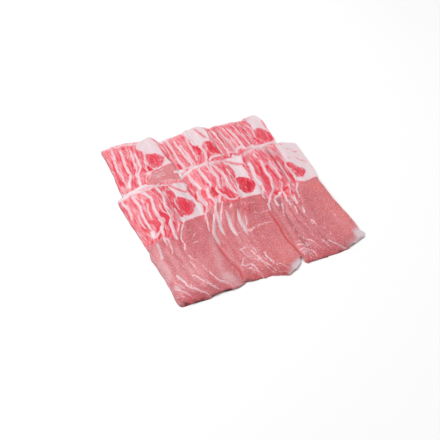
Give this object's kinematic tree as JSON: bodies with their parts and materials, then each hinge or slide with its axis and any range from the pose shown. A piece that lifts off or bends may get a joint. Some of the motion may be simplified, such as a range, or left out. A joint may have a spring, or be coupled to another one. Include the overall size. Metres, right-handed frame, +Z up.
{
  "type": "thinly sliced pork",
  "caption": "Thin slices of raw pork, each folded lengthwise, overlapping like roof tiles in short bundles laid in two rows, for hot pot or quick frying.",
  "frame": {"origin": "centre of the pile's outline, on the table it lies on", "axes": "+Z up; +Y along the slices, from their wide lean ends to their narrow fatty ends; +X in the direction in which the slices of a bundle overlap"},
  "size_m": [0.234, 0.2734, 0.0254],
  "materials": {
    "pork": "wet, satin"
  },
  "bodies": {
    "root": {"slice_a1": "pork", "slice_a2": "pork", "slice_a3": "pork", "slice_a4": "pork", "slice_a5": "pork", "slice_a6": "pork", "slice_b1": "pork", "slice_b2": "pork", "slice_b3": "pork", "slice_b4": "pork", "slice_b5": "pork", "slice_b6": "pork", "slice_c1": "pork", "slice_c2": "pork", "slice_c3": "pork", "slice_c4": "pork", "slice_c5": "pork", "slice_c6": "pork", "slice_d1": "pork", "slice_d2": "pork", "slice_d3": "pork", "slice_d4": "pork", "slice_d5": "pork", "slice_d6": "pork", "slice_e1": "pork", "slice_e2": "pork", "slice_e3": "pork", "slice_e4": "pork", "slice_e5": "pork", "slice_e6": "pork", "slice_f1": "pork", "slice_f2": "pork", "slice_f3": "pork", "slice_f4": "pork", "slice_f5": "pork", "slice_f6": "pork"}
  },
  "joints": []
}
